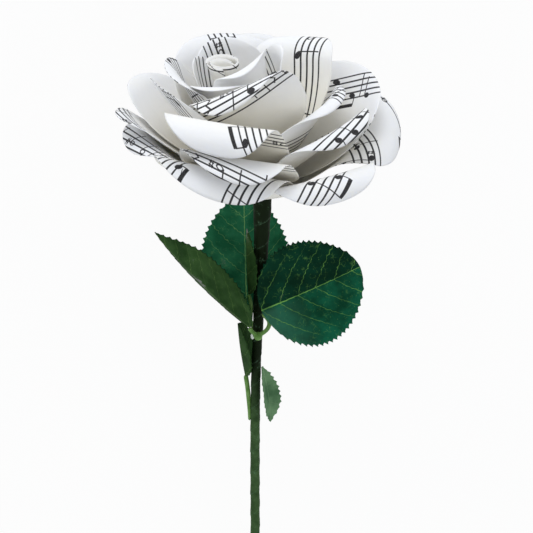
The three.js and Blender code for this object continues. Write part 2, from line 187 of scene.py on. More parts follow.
def near(tree, value, half, soft=0.06):
    """1 where value is within half of 0, fading out over soft."""
    node = tree.nodes.new("ShaderNodeMapRange")
    away = calculate(tree, "ABSOLUTE", value)
    tree.links.new(away, node.inputs["Value"])
    node.inputs["From Min"].default_value = half + soft
    node.inputs["From Max"].default_value = half - soft
    return node.outputs[0]


def ramp(tree, value, start, end, low=0.0, high=1.0):
    node = tree.nodes.new("ShaderNodeMapRange")
    tree.links.new(value, node.inputs["Value"])
    node.inputs["From Min"].default_value = start
    node.inputs["From Max"].default_value = end
    node.inputs["To Min"].default_value = low
    node.inputs["To Max"].default_value = high
    return node.outputs[0]


def blend_colours(tree, share, first, second):
    node = tree.nodes.new("ShaderNodeMix")
    node.data_type = "RGBA"
    for socket, value in zip((node.inputs[0], node.inputs[6], node.inputs[7]), (share, first, second)):
        if isinstance(value, (tuple, float)):
            socket.default_value = value
        else:
            tree.links.new(value, socket)
    return node.outputs[2]


def noise(tree, place, size, detail=3.0, roughness=0.5):
    """Soft noise with grains of this size, in the units of place."""
    node = tree.nodes.new("ShaderNodeTexNoise")
    node.inputs["Scale"].default_value = 1 / size
    node.inputs["Detail"].default_value = detail
    node.inputs["Roughness"].default_value = roughness
    tree.links.new(place, node.inputs["Vector"])
    return node.outputs["Fac"]


def object_place(tree):
    return tree.nodes.new("ShaderNodeTexCoord").outputs["Object"]


def map_place(tree, map_name):
    node = tree.nodes.new("ShaderNodeUVMap")
    node.uv_map = map_name
    return node.outputs[0]


def split(tree, place):
    """The X and Y of a place."""
    node = tree.nodes.new("ShaderNodeSeparateXYZ")
    tree.links.new(place, node.inputs[0])
    return node.outputs["X"], node.outputs["Y"]


def bump(tree, height, distance, strength=1.0, under=None):
    node = tree.nodes.new("ShaderNodeBump")
    node.inputs["Strength"].default_value = strength
    node.inputs["Distance"].default_value = distance
    tree.links.new(height, node.inputs["Height"])
    if under is not None:
        tree.links.new(under, node.inputs["Normal"])
    return node.outputs[0]


def new_group(name, places, values):
    """A group of nodes that takes places in and gives single values out."""
    group = bpy.data.node_groups.new(name, "ShaderNodeTree")
    for place in places:
        group.interface.new_socket(place, in_out="INPUT", socket_type="NodeSocketVector")
    for value in values:
        group.interface.new_socket(value, in_out="OUTPUT", socket_type="NodeSocketFloat")
    return group, group.nodes.new("NodeGroupInput"), group.nodes.new("NodeGroupOutput")


def use_group(tree, group, **inputs):
    node = tree.nodes.new("ShaderNodeGroup")
    node.node_tree = group
    for name, value in inputs.items():
        tree.links.new(value, node.inputs[name])
    return node.outputs


def new_material(name, roughness, shine=0.5):
    material = bpy.data.materials.new(name)
    material.use_nodes = True
    shader = material.node_tree.nodes["Principled BSDF"]
    shader.inputs["Roughness"].default_value = roughness
    shader.inputs["Specular IOR Level"].default_value = shine
    return material, material.node_tree, shader


def paint(tree, shader, colour, relief):
    tree.links.new(colour, shader.inputs["Base Color"])
    tree.links.new(relief, shader.inputs["Normal"])


# %% [markdown]
# ## The printed music
# Engraved music is regular: staves of five lines 2 mm apart, and on them notes whose heads sit
# on a line or between two. This page repeats a piano pair of staves, then a staff for the song,
# then one more with wide margins. Each beat is a cell that draws a random height for its note,
# so the notes make no tune that anyone wrote. Stems, beams, bar lines, rests, sharps and slurs
# follow the engraver's usual sizes.

# %% Engrave the page
PAGE_REPEAT = 110.0
STAFF_BASES = (6.0, 20.0, 42.0, 78.0)  # lowest line of each staff
LINE = 0.28  # half the width of a staff line
BEAT = 7.0  # from one note to the next
STAFF = 8.0  # from its lowest line to its highest
THIN = 0.2  # half the width of stems and bar lines
BEAM_HEIGHT, SLUR_HEIGHT = 10.4, 9.2  # above the lowest line
SOUNDS_OVER, BEAMED_OVER, MARKED_OVER, SLURRED_OVER = 0.42, 0.68, 0.72, 0.7  # throws of a dice, 0 to 1
HEAD_LONG, HEAD_WIDE, STEM_ASIDE = 1.25, 0.85, 1.12


def engrave():
    tree, source, target = new_group("printed music", ["Page"], ["Ink"])
    sums, within = partial(calculate, tree), partial(near, tree)
    x, y = split(tree, source.outputs["Page"])
    repeat = sums("FLOOR", sums("DIVIDE", y, PAGE_REPEAT))
    down_page = sums("SUBTRACT", y, sums("MULTIPLY", repeat, PAGE_REPEAT))
    height = sums("SUBTRACT", down_page, STAFF_BASES[0])
    row = sums("MULTIPLY", repeat, 4.0)
    for lower, upper in zip(STAFF_BASES, STAFF_BASES[1:]):
        passed = sums("GREATER_THAN", down_page, upper - min(1.6, (upper - lower - STAFF) / 2))
        height = sums("SUBTRACT", height, sums("MULTIPLY", passed, upper - lower))
        row = sums("ADD", row, passed)
    from_middle = sums("SUBTRACT", height, STAFF / 2)
    in_staff = within(from_middle, STAFF / 2 + THIN)

    def chance(first, second):
        cell = tree.nodes.new("ShaderNodeCombineXYZ")
        tree.links.new(first, cell.inputs["X"])
        tree.links.new(second, cell.inputs["Y"])
        dice = tree.nodes.new("ShaderNodeTexWhiteNoise")
        dice.noise_dimensions = "2D"
        tree.links.new(cell.outputs[0], dice.inputs["Vector"])
        parts = tree.nodes.new("ShaderNodeSeparateColor")
        tree.links.new(dice.outputs["Color"], parts.inputs[0])
        return dice.outputs["Value"], parts.outputs[0], parts.outputs[1], parts.outputs[2]

    # staff lines and bar lines
    lines = sums("MULTIPLY", within(sums("PINGPONG", sums("ADD", height, 20.0), 1.0), LINE), in_staff)
    pair_middle = (STAFF_BASES[0] + STAFF_BASES[1] + STAFF) / 2
    in_pair = within(sums("SUBTRACT", down_page, pair_middle), pair_middle - STAFF_BASES[0])
    bars = sums("MAXIMUM", in_staff, in_pair)
    bars = sums("MULTIPLY", within(sums("PINGPONG", x, 2 * BEAT), THIN), bars)

    # one cell per beat
    beat = sums("FLOOR", sums("DIVIDE", x, BEAT))
    sideways = sums("SUBTRACT", x, sums("MULTIPLY", sums("ADD", beat, 0.5), BEAT))
    played, pitch_dice, open_dice, sharp_dice = chance(beat, row)
    pair = sums("FLOOR", sums("DIVIDE", beat, 2.0))
    beamed_dice = chance(sums("ADD", pair, 311.0), row)[0]
    beamed = sums("GREATER_THAN", beamed_dice, BEAMED_OVER)
    sounds = sums("MAXIMUM", sums("GREATER_THAN", played, SOUNDS_OVER), beamed)
    pitch = sums("FLOOR", sums("MULTIPLY", pitch_dice, 8.99))
    above = sums("SUBTRACT", height, pitch)

    # note heads, tilted ellipses, some of them open
    c, s = math.cos(math.radians(22)), math.sin(math.radians(22))
    long_way = sums("ADD", sums("MULTIPLY", sideways, c), sums("MULTIPLY", above, s))
    short_way = sums("SUBTRACT", sums("MULTIPLY", above, c), sums("MULTIPLY", sideways, s))
    first = sums("POWER", sums("DIVIDE", long_way, HEAD_LONG), 2.0)
    second = sums("POWER", sums("DIVIDE", short_way, HEAD_WIDE), 2.0)
    head_distance = sums("ADD", first, second)
    head = near(tree, head_distance, 1.0, 0.12)
    hole = sums("MULTIPLY", near(tree, head_distance, 0.38, 0.1), sums("GREATER_THAN", open_dice, 0.75))
    hole = sums("MULTIPLY", hole, sums("SUBTRACT", 1.0, beamed))
    head = sums("SUBTRACT", head, hole)

    # stems, up from low notes and down from high ones, and up to the beam under a beam
    low_note = sums("MAXIMUM", sums("LESS_THAN", pitch, 4.0), beamed)
    way = sums("SUBTRACT", sums("MULTIPLY", low_note, 2.0), 1.0)
    stem_side = sums("SUBTRACT", sideways, sums("MULTIPLY", way, STEM_ASIDE))
    length = sums("ADD", sums("MULTIPLY", beamed, sums("SUBTRACT", BEAM_HEIGHT - 6.5, pitch)), 6.5)
    half_length = sums("MULTIPLY", length, 0.5)
    along_stem = sums("SUBTRACT", sums("MULTIPLY", above, way), half_length)
    past_stem = sums("SUBTRACT", sums("ABSOLUTE", along_stem), half_length)
    stem = sums("MULTIPLY", within(stem_side, THIN), sums("LESS_THAN", past_stem, 0.0))
    note = sums("MULTIPLY", sums("MAXIMUM", head, stem), sounds)

    # beams join the two beats of a pair
    across_pair = sums("SUBTRACT", x, sums("MULTIPLY", sums("ADD", pair, 0.5), 2 * BEAT))
    beam = within(sums("SUBTRACT", height, BEAM_HEIGHT), 0.6)
    beam = sums("MULTIPLY", beam, within(sums("SUBTRACT", across_pair, STEM_ASIDE), BEAT / 2 + 0.1))
    beam = sums("MULTIPLY", beam, beamed)

    # sharps before some notes: two upright strokes and two thicker slanting ones
    sharp_x = sums("ADD", sideways, 2.5)
    strokes = near(tree, sums("SUBTRACT", sums("ABSOLUTE", sharp_x), 0.36), 0.14)
    strokes = sums("MULTIPLY", strokes, within(above, 1.4))
    slanted = sums("SUBTRACT", above, sums("MULTIPLY", sharp_x, 0.25))
    rungs = near(tree, sums("SUBTRACT", sums("ABSOLUTE", slanted), 0.5), 0.2)
    rungs = sums("MULTIPLY", rungs, within(sharp_x, 0.75))
    sharp = sums("MULTIPLY", sums("MAXIMUM", strokes, rungs), sums("GREATER_THAN", sharp_dice, MARKED_OVER))
    sharp = sums("MULTIPLY", sharp, sounds)

    # rests where no note sounds: a block under a line, or a zigzag
    silent = sums("SUBTRACT", 1.0, sounds)
    block = sums("MULTIPLY", within(sums("SUBTRACT", height, 5.5), 0.5), within(sideways, 1.2))
    zigzag = sums("SUBTRACT", sums("PINGPONG", sums("ADD", height, 20.0), 1.35), 0.67)
    zigzag = within(sums("SUBTRACT", sideways, sums("MULTIPLY", zigzag, 0.9)), 0.3)
    zigzag = sums("MULTIPLY", zigzag, within(from_middle, 2.6))
    either = sums("GREATER_THAN", open_dice, 0.5)
    rest = sums("ADD", sums("MULTIPLY", block, either), sums("MULTIPLY", zigzag, sums("SUBTRACT", 1.0, either)))
    rest = sums("MULTIPLY", sums("MULTIPLY", rest, silent), sums("GREATER_THAN", sharp_dice, MARKED_OVER))

    # a slur over some bars, thicker in its middle
    bar = sums("FLOOR", sums("DIVIDE", x, 4 * BEAT))
    slurred = sums("GREATER_THAN", chance(sums("ADD", bar, 77.0), row)[0], SLURRED_OVER)
    over = sums("SUBTRACT", sums("DIVIDE", x, 4 * BEAT), sums("ADD", bar, 0.5))
    crown = sums("SUBTRACT", 1.0, sums("POWER", sums("MULTIPLY", over, 2.6), 2.0))
    arc = sums("SUBTRACT", height, sums("ADD", sums("MULTIPLY", crown, 2.2), SLUR_HEIGHT))
    thin = sums("DIVIDE", arc, sums("ADD", sums("MULTIPLY", crown, 0.16), 0.08))
    slur = sums("MULTIPLY", near(tree, thin, 1.0, 0.3), sums("GREATER_THAN", crown, 0.0))
    slur = sums("MULTIPLY", slur, slurred)

    ink = sums("MAXIMUM", lines, bars)
    for mark in (note, beam, sharp, rest, slur):
        ink = sums("MAXIMUM", ink, mark)
    tree.links.new(ink, target.inputs["Ink"])
    return tree


PRINT = engrave()
print("the page is drawn by", len(PRINT.nodes), "nodes")

# %% [markdown]
# ## The paper
# Plain offset paper: a cool white, matt, with a faint cloudiness and fine fibres. Towards the foot
# of each petal a cream is painted in: painted shade that stands for the warm light deep in the
# folds. The ink is almost black and a little uneven. Light that goes from petal to petal carries
# the cream along, which turns the deep folds ivory, and the thin sheet lets a little light through.

# %% Paper material
PAPER_COLOUR = (0.89, 0.895, 0.915, 1)
CREAM_SHADE_AND_TONE = (0.91, 0.88, 0.80, 1)
INK_COLOUR = (0.012, 0.011, 0.013, 1)
# painted shade: a cream painted in towards the foot of every petal
SHADE_CREAM_FROM_RIM = (-5.0, -20.0)  # where the cream starts and where it is full


def paper_grain():
    tree, source, target = new_group("paper grain", ["Place", "Page"], ["Tone", "Fibre", "Cockle"])
    place, page = source.outputs["Place"], source.outputs["Page"]
    clouds = noise(tree, place, 9 * MM, 2)
    fibre = noise(tree, page, 0.35, 4, 0.65)
    cockle = noise(tree, page, 8.0, 3, 0.55)
    tree.links.new(ramp(tree, clouds, 0.42, 0.75), target.inputs["Tone"])
    tree.links.new(fibre, target.inputs["Fibre"])
    tree.links.new(cockle, target.inputs["Cockle"])
    return tree


GRAIN = paper_grain()


def paper(name, page_map):
    material, tree, shader = new_material(name, 0.78, 0.25)
    page = map_place(tree, page_map)
    from_rim = split(tree, map_place(tree, "from_rim"))[1]
    grain = use_group(tree, GRAIN, Place=object_place(tree), Page=page)
    ink = use_group(tree, PRINT, Page=page)["Ink"]
    worn = ramp(tree, grain["Fibre"], 0.3, 0.6, 0.93, 1.0)
    ink = calculate(tree, "MULTIPLY", ink, worn)
    # painted shade: cream towards the petal's foot, mixed with the paper's random cloudy tone
    shade_and_tone = ramp(tree, from_rim, *SHADE_CREAM_FROM_RIM)
    shade_and_tone = calculate(tree, "MAXIMUM", shade_and_tone, calculate(tree, "MULTIPLY", grain["Tone"], 0.22))
    sheet = blend_colours(tree, shade_and_tone, PAPER_COLOUR, CREAM_SHADE_AND_TONE)
    fibres = bump(tree, grain["Fibre"], 0.02 * MM, 0.5)
    cockled = bump(tree, grain["Cockle"], 1.0 * MM, 0.42, fibres)
    paint(tree, shader, blend_colours(tree, ink, sheet, INK_COLOUR), cockled)
    shader.inputs["Subsurface Weight"].default_value = 0.15
    shader.inputs["Subsurface Radius"].default_value = (1.0, 0.92, 0.72)
    shader.inputs["Subsurface Scale"].default_value = 0.5 * MM
    return material


PAPER_FACE = paper("sheet_music_face", "face")
PAPER_BACK = paper("sheet_music_back", "back")
print("each side of the paper:", len(PAPER_FACE.node_tree.nodes), "nodes and the groups of print and grain")

# %% [markdown]
# ## The petals
# A petal is a rounded sheet that narrows to its foot. Its wall leans out, bulges a little, and
# its rim is drawn over a rod so that it curls back. The rows are the CAD's own, from the bud
# outwards, in the order in which the petals are glued on. Each petal is cut from its own spot
# of the page, turned its own way, as the table PAGES says.

# %% Petal shapes
CORE_RADIUS = 1.95
FOOT_GAP = 0.4
FOOT_STEP = 0.375
NARROWING = 0.72
EASE = 3.0
PETAL_BULGE = 13
PAPER = 0.2
ACROSS, ALONG = 30, 46

# name, side, reach, rise, width, curl, rod, hollow, lip, yaw, roll, skew, lean
PETALS = [
    ("bud_petal_left", 163.4, 12.0, 40.3, 20.6, 6, 3.9, 0.80, 0.50, -3.1, -3.2, 0.00, 0.21),
    ("bud_petal_right", -62.6, 8.4, 42.4, 30.1, 107, 3.6, 0.70, 0.20, 16.4, 0.1, 0.28, 0.16),
    ("inner_petal_right", 20.0, 11.1, 41.5, 22.4, 57, 3.3, 0.70, 0.30, -1.9, 2.5, 0.01, 0.12),
    ("inner_petal_front", -106.6, 11.8, 36.2, 29.5, 98, 5.1, 0.70, 0.30, 11.7, 1.0, 0.12, 0.18),
    ("inner_petal_back", 108.5, 15.6, 39.9, 31.9, 31, 5.0, 0.80, 0.50, 8.5, 0.7, 0.00, 0.17),
    ("inner_petal_left", -168.1, 17.6, 37.1, 36.6, 60, 5.8, 0.70, 0.40, 6.7, -2.2, -0.19, 0.16),
    ("collar_petal_front", -80.7, 20.4, 42.2, 40.9, 135, 4.2, 0.40, 0.10, -0.5, -2.5, 0.37, 0.14),
    ("tall_petal_back_right", 53.2, 21.1, 35.4, 31.2, 101, 6.3, 0.80, 0.50, 24.1, 0.2, -0.05, 0.09),
    ("tall_petal_back_left", 111.5, 22.7, 35.0, 46.7, 54, 6.9, 0.80, 0.50, -9.9, -2.9, -0.01, 0.11),
    ("middle_petal_left", -151.0, 25.3, 38.3, 40.3, 17, 8.0, 0.60, 0.40, 4.2, 1.2, -0.01, 0.16),
    ("middle_petal_right", -25.0, 19.7, 30.0, 48.4, 116, 3.0, 0.30, 0.10, -4.1, -2.0, -0.08, 0.06),
    ("middle_petal_front", -99.3, 34.6, 38.2, 40.4, 183, 5.1, 0.25, 0.10, -7.8, 0.5, -0.03, 0.16),
    ("side_petal_right", -39.4, 28.0, 28.1, 45.4, 140, 3.3, 0.30, 0.10, -3.5, -4.9, -0.04, 0.04),
    ("middle_petal_back", 88.7, 28.6, 33.2, 43.9, 40, 7.0, 0.80, 0.50, 4.9, 0.8, 0.00, 0.12),
    ("wide_petal_right", 28.0, 34.3, 28.5, 54.9, 22, 7.9, 0.80, 0.60, -8.0, -4.9, 0.01, 0.00),
    ("wide_petal_left_back", 157.9, 34.0, 26.2, 35.4, 35, 9.0, 0.70, 0.50, -2.8, -5.5, -0.01, 0.13),
    ("narrow_petal_left", -164.2, 33.7, 25.7, 33.0, 42, 7.9, 0.60, 0.50, 7.5, -4.7, -0.02, 0.14),
    ("lower_petal_front", -95.3, 36.4, 28.7, 39.6, 126, 5.8, 0.25, 0.10, -9.8, -1.1, -0.14, 0.14),
    ("lower_petal_back", 82.4, 36.8, 24.1, 42.5, 54, 8.1, 0.70, 0.40, 0.4, 0.1, 0.00, 0.12),
    ("outer_petal_left", -161.0, 29.0, 19.5, 35.6, 94, 6.2, 0.40, 0.10, 3.6, -2.1, -0.03, 0.14),
    ("outer_petal_back_left", 118.0, 36.0, 18.0, 44.0, 75, 8.0, 0.60, 0.20, 0.0, 0.0, 0.00, 0.12),
    ("outer_petal_right", 8.2, 27.7, 16.2, 50.9, 117, 8.3, 0.70, 0.60, -9.8, 2.7, 0.19, -0.03),
    ("outer_petal_front_left", -106.0, 34.0, 23.2, 46.2, 134, 6.1, 0.30, 0.10, 0.9, 1.5, -0.19, 0.14),
    ("outer_petal_back_right", 83.5, 37.0, 16.1, 42.1, 85, 8.1, 0.60, 0.20, 0.4, 0.0, 0.00, 0.12),
    ("outer_petal_front_right", -58.8, 35.8, 19.3, 46.6, 158, 4.2, 0.30, 0.10, 0.0, 1.3, -0.02, 0.13),
]

# How each petal lies on its page: degrees turned, and mm along and across the staves, for the
# face that looks into the bloom and for its back.
PAGES = {
    "bud_petal_left": ((72, 3, 86), (80, 30, 64)),
    "bud_petal_right": ((0, 9, 102), (0, 4, 100)),
    "inner_petal_right": ((124, 75, 70), (15, 60, 100)),
    "inner_petal_front": ((10, 12, 100), (-16, 80, 73)),
    "inner_petal_back": ((96, 50, 80), (70, 10, 64)),
    "inner_petal_left": ((52, 22, 90.3), (60, 33, 80)),
    "collar_petal_front": ((-12, 61, 86.9), (-32, 44, 91)),
    "tall_petal_back_right": ((98, 100, 84.8), (80, 25, 80)),
    "tall_petal_back_left": ((93, 70, 82.1), (70, 55, 80)),
    "middle_petal_left": ((94, 100, 91.3), (75, 14, 80)),
    "middle_petal_right": ((-110, 27, 92), (10, 9, 100)),
    "middle_petal_front": ((-73, 156, 95.4), (12, 33, 100)),
    "side_petal_right": ((-166, 228, 22.3), (20, 70, 80)),
    "middle_petal_back": ((0, 33, 92), (10, 25, 90)),
    "wide_petal_right": ((-139, 160, 79.2), (5, 5, 92)),
    "wide_petal_left_back": ((0, 12, 114), (80, 36, 80)),
    "narrow_petal_left": ((4, 77, 84.9), (90, 50, 80)),
    "lower_petal_front": ((-12, 58, 83.8), (15, 10, 92)),
    "lower_petal_back": ((10, 57, 92), (80, 20, 80)),
    "outer_petal_left": ((14, 89, 84.3), (60, 90, 80)),
    "outer_petal_back_left": ((15, 44, 92), (10, 60, 40)),
    "outer_petal_right": ((-157, 21, 29), (0, 36, 60)),
    "outer_petal_front_left": ((70, 94, 38.9), (20, 27, 60)),
    "outer_petal_back_right": ((75, 35, 92), (5, 11, 60)),
    "outer_petal_front_right": ((40, 144, 88.3), (15, 84, 60)),
}


PAGE_START = (600, 550)  # keeps every piece on the positive side of the page


def on_page(spot, across, along):
    turn, shift_x, shift_y = spot
    c, s = math.cos(math.radians(turn)), math.sin(math.radians(turn))
    x, y = across * c - along * s + shift_x, across * s + along * c + shift_y
    return (x + PAGE_START[0], y + PAGE_START[1])


def petal(index, row):
    name, side, reach, rise, width, curl, rod, hollow, lip, yaw, roll, skew, lean = row
    foot_radius = CORE_RADIUS + FOOT_GAP
    foot_height = (len(PETALS) - 1 - index) * FOOT_STEP
    bulge = math.radians(PETAL_BULGE)
    wall_angle = math.atan2(reach - foot_radius, rise - foot_height)
    wall_chord = math.hypot(reach - foot_radius, rise - foot_height)
    wall = wall_chord * bulge / math.sin(bulge)
    length = wall + EASE / 2 + rod * math.radians(curl)
    turn_side, tip = math.radians(side), math.radians(roll)

    def slope(p, q):
        past = q - wall - skew * p
        upright = wall_angle + bulge * (1 - 2 * min(q / wall, 1))
        if past <= 0:
            return upright
        if past < EASE:
            return upright + past * past / (2 * EASE * rod)
        return upright + (past - EASE / 2) / rod

    def surface(p, q):
        steps = 24
        out, up = foot_radius, 0.0
        for i in range(steps):
            angle = slope(p, (i + 0.5) * q / steps)
            out += math.sin(angle) * q / steps
            up += math.cos(angle) * q / steps
        grown = smooth(q / wall)
        curled = smooth((q - wall) / (length - wall))
        follow = lerp(lerp(1, hollow, grown), lip, curled)
        bend = follow / max(out, 2) + 1e-6
        across = math.sin(bend * p) / bend
        inward = (1 - math.cos(bend * p)) / bend
        turn = math.radians(yaw) * smooth(0.1 + 0.9 * q / wall)
        radial = out - across * math.sin(turn) - inward * math.cos(turn)
        sideways = across * math.cos(turn) - inward * math.sin(turn)
        tangent = sideways * math.cos(tip) + up * math.sin(tip)
        height = foot_height - sideways * math.sin(tip) + up * math.cos(tip)
        x = radial * math.cos(turn_side) - tangent * math.sin(turn_side)
        y = radial * math.sin(turn_side) + tangent * math.cos(turn_side)
        return (x - lean * height, y, height)

    def outline(a, b):
        spread = -1 + 2 * ((b + 1) / 2) ** 0.85
        round_a = 0.9 * a * math.sqrt(1 - spread * spread / 2) + 0.1 * a
        round_b = 0.9 * spread * math.sqrt(1 - a * a / 2) + 0.1 * spread
        narrowing = 1 - NARROWING * ((1 - round_b) / 2) ** 2
        return width / 2 * round_a * narrowing, length * (1 + round_b) / 2

    def from_rim(a, b):
        p, q = outline(a, b)
        return p, q - length

    def page_of(spot):
        return lambda a, b: on_page(spot, *from_rim(a, b))

    face, back = PAGES[name]
    maps = (("face", page_of(face)), ("back", page_of(back)), ("from_rim", from_rim))
    mesh = bend_grid(name, ACROSS, ALONG, lambda a, b: surface(*outline(a, b)), maps)
    piece = finish_piece(name, mesh, (PAPER_BACK, PAPER_FACE))
    thicken(piece, PAPER)
    return piece, length


print(len(PETALS), "petals, each with its spot among", len(PAGES), "on the page")

# %% Glue on the petals
for index, row in enumerate(PETALS):
    piece, length = petal(index, row)
    print(f"{row[0]}: flat {row[4]:.1f} x {length:.1f} mm, past its CAD {fits(piece, row[0]):.2f} mm")

# %% [markdown]
# ## The bud
# One strip of the same paper, rolled nearly two and a half turns, tighter at its foot than at its rim,
# so that the rim opens like a spiral when you look down on it. The inner turns sit a little
# lower than the outer one, as they do in a real bud.

# %% Roll the bud
CORE_HEIGHT, CORE_LEAN, SEAT = 8.7, 0.14, 0.3
BUD_TURNS, BUD_HEIGHT, BUD_LEAN, BUD_START = 2.4, 34.5, 0.3, 2.2
BUD_TOP_RADIUS, BUD_FOOT_RADIUS = 5.4, 2.0
BUD_TOP_PITCH, BUD_FOOT_PITCH = 1.25, 0.55
BUD_SUNK, BUD_SHADE_CREAM, BUD_UNROLLED = 3.5, 10, 0.8


def bud_surface(turns, up):
    start = CORE_HEIGHT + SEAT
    angle = turns * 2 * math.pi + BUD_START
    pitch = lerp(BUD_FOOT_PITCH, BUD_TOP_PITCH, up)
    rim = lerp(BUD_FOOT_RADIUS, BUD_TOP_RADIUS, up)
    radius = rim - pitch * (BUD_TURNS - turns)
    middle = -CORE_LEAN * start - BUD_LEAN * up * BUD_HEIGHT
    sunk = BUD_SUNK * up * (1 - smooth((turns + 0.1) / 1.5))
    return (middle + radius * math.cos(angle), radius * math.sin(angle), start + up * BUD_HEIGHT - sunk)


def bud_page(spot):
    def place(a, b):
        turns, up = (a + 1) / 2 * BUD_TURNS, (b + 1) / 2
        rim = lerp(BUD_FOOT_RADIUS, BUD_TOP_RADIUS, up)
        return on_page(spot, turns * 2 * math.pi * rim * BUD_UNROLLED, up * BUD_HEIGHT)
    return place


# The bud's distance from the rim is counted further down, so the painted shade cream reaches up its wall.
bud_mesh = bend_grid(
    "bud", 130, 22, lambda a, b: bud_surface((a + 1) / 2 * BUD_TURNS, (b + 1) / 2),
    (
        ("face", bud_page((0, 4, 66))), ("back", bud_page((0, 40, 44.5))),
        ("from_rim", lambda a, b: (a, (b - 1) * BUD_HEIGHT - BUD_SHADE_CREAM)),
    ),
)
bud = finish_piece("bud", bud_mesh, (PAPER_BACK, PAPER_FACE))
thicken(bud, PAPER)
print(f"bud: past its CAD {fits(bud, 'bud'):.2f} mm")

# %% [markdown]
# ## The stem
# Green crepe floral tape is stretched and wound up the wire, so every turn laps the one below
# and leaves a slanting edge. The tape is paper with wax in it: matt, finely creased, darker
# up the stem towards the bloom, and rubbed pale and teal along its laps.

# %% Tape material
TAPE_GREENS = ((0.028, 0.064, 0.020, 1), (0.056, 0.112, 0.040, 1))
TAPE_DARK_TOP, TAPE_RUBBED = (0.004, 0.0075, 0.0025, 1), (0.10, 0.20, 0.115, 1)
TAPE_DARKENS = (-86.0, -62.0)  # up the stem, between these heights


def tape_material():
    material, tree, shader = new_material("stem_tape", 0.62, 0.05)
    sums = partial(calculate, tree)
    round_it, down = split(tree, map_place(tree, "tape"))
    lap = sums("FRACT", sums("SUBTRACT", sums("DIVIDE", down, TAPE_LAP), round_it))
    place = object_place(tree)
    mottle = noise(tree, place, 2.6 * MM, 4, 0.6)
    fine = noise(tree, place, 0.5 * MM, 3, 0.6)
    # crepe: fine wrinkles that run across the tape, so nearly along the stem
    stretch = tree.nodes.new("ShaderNodeCombineXYZ")
    tree.links.new(sums("MULTIPLY", round_it, 34.0), stretch.inputs["X"])
    tree.links.new(sums("MULTIPLY", down, 0.55), stretch.inputs["Y"])
    crepe = noise(tree, stretch.outputs[0], 1.0, 2)
    colour = blend_colours(tree, ramp(tree, mottle, 0.35, 0.65), *TAPE_GREENS)
    # darker up the stem, towards the bloom
    dark = ramp(tree, down, *TAPE_DARKENS, 0.0, 0.93)
    colour = blend_colours(tree, dark, colour, TAPE_DARK_TOP)
    edge = ramp(tree, lap, 0.0, 0.09, 1.0, 0.0)
    rubbed = sums("MULTIPLY", edge, ramp(tree, fine, 0.42, 0.6))
    scuff = sums("MULTIPLY", ramp(tree, mottle, 0.60, 0.70), ramp(tree, fine, 0.45, 0.58))
    pale = sums("MAXIMUM", sums("MULTIPLY", rubbed, 0.6), sums("MULTIPLY", scuff, 0.7))
    colour = blend_colours(tree, pale, colour, TAPE_RUBBED)
    wrinkled = bump(tree, crepe, 0.12 * MM, 0.8)
    paint(tree, shader, colour, bump(tree, fine, 0.05 * MM, 0.6, wrinkled))
    tree.links.new(ramp(tree, mottle, 0.3, 0.7, 0.48, 0.72), shader.inputs["Roughness"])
    return material


# %% Wind the tape
STEM_LENGTH, WIRE_RADIUS, WIRE_FIT = 200, 0.8, 0.3
TAPE_RADIUS, TAPE_LAP, TAPE_STEP, LAP_EDGE, TAPE_WRINKLE = 1.5, 8.5, 0.14, 0.035, 0.03
SWELLING_RADIUS, SWELLING_LENGTH, SWELLING_TOP = 2.9, 32, -0.6
STEM_LINE = [
    (-2.4, -200), (-2.4, -150), (-2.4, -100), (-2.2, -76), (-1.8, -60),
    (-1.0, -45), (-0.1, -26), (0.0, -10), (0.0, 0.0), (-1.218, 8.7),
]


def stem_middle(height):
    """Where the stem's middle is at this height: the wire is bent a little, to the left."""
    last = len(STEM_LINE) - 1
    i = 0
    while i < last - 1 and STEM_LINE[i + 1][1] < height:
        i += 1
    (x1, z1), (x2, z2) = STEM_LINE[i], STEM_LINE[i + 1]
    x0, z0 = STEM_LINE[max(i - 1, 0)]
    x3, z3 = STEM_LINE[min(i + 2, last)]
    t = min(1.0, max(0.0, (height - z1) / (z2 - z1)))
    rise1 = (x2 - x0) / (z2 - z0) * (z2 - z1)
    rise2 = (x3 - x1) / (z3 - z1) * (z2 - z1)
    a = 2 * x1 - 2 * x2 + rise1 + rise2
    b = -3 * x1 + 3 * x2 - 2 * rise1 - rise2
    return ((a * t + b) * t + rise1) * t + x1


def tape_radius(height, turned):
    swell = smooth((height + SWELLING_LENGTH) / SWELLING_LENGTH)
    plain = lerp(TAPE_RADIUS, SWELLING_RADIUS, swell)
    wound = smooth((height + STEM_LENGTH) / 2) * smooth((-3 - height) / 4)
    lap = (height / TAPE_LAP - turned) % 1.0
    ridge = smooth(lap / LAP_EDGE) * (1 - 0.9 * smooth((lap - LAP_EDGE) / 0.7))
    wrinkle = TAPE_WRINKLE * math.sin(turned * 2 * math.pi * 3 + height * 0.9) * math.sin(height * 1.7)
    return plain + wound * (TAPE_STEP * ridge + wrinkle) - 0.02


BORE = WIRE_RADIUS + WIRE_FIT
TAPE_ROWS = 760
PROFILE = [(0, CORE_HEIGHT - 0.6), (BORE, CORE_HEIGHT - 0.6), (BORE, -100), (BORE, -STEM_LENGTH)]
for step in range(TAPE_ROWS + 1):
    PROFILE.append((None, lerp(-STEM_LENGTH, SWELLING_TOP, step / TAPE_ROWS)))
PROFILE += [(CORE_RADIUS + 0.3, SWELLING_TOP), (CORE_RADIUS - 0.02, SWELLING_TOP + 0.1)]
PROFILE += [(CORE_RADIUS - 0.02, 4), (CORE_RADIUS - 0.02, CORE_HEIGHT), (0, CORE_HEIGHT)]


def tape_point(a, b):
    turned = (a + 1) / 2
    radius, height = PROFILE[round((b + 1) / 2 * (len(PROFILE) - 1))]
    if radius is None:
        radius = tape_radius(height, turned)
    angle = turned * 2 * math.pi
    middle = stem_middle(height)
    return (middle + radius * math.cos(angle), radius * math.sin(angle), height)


def tape_map(a, b):
    return ((a + 1) / 2, PROFILE[round((b + 1) / 2 * (len(PROFILE) - 1))][1])


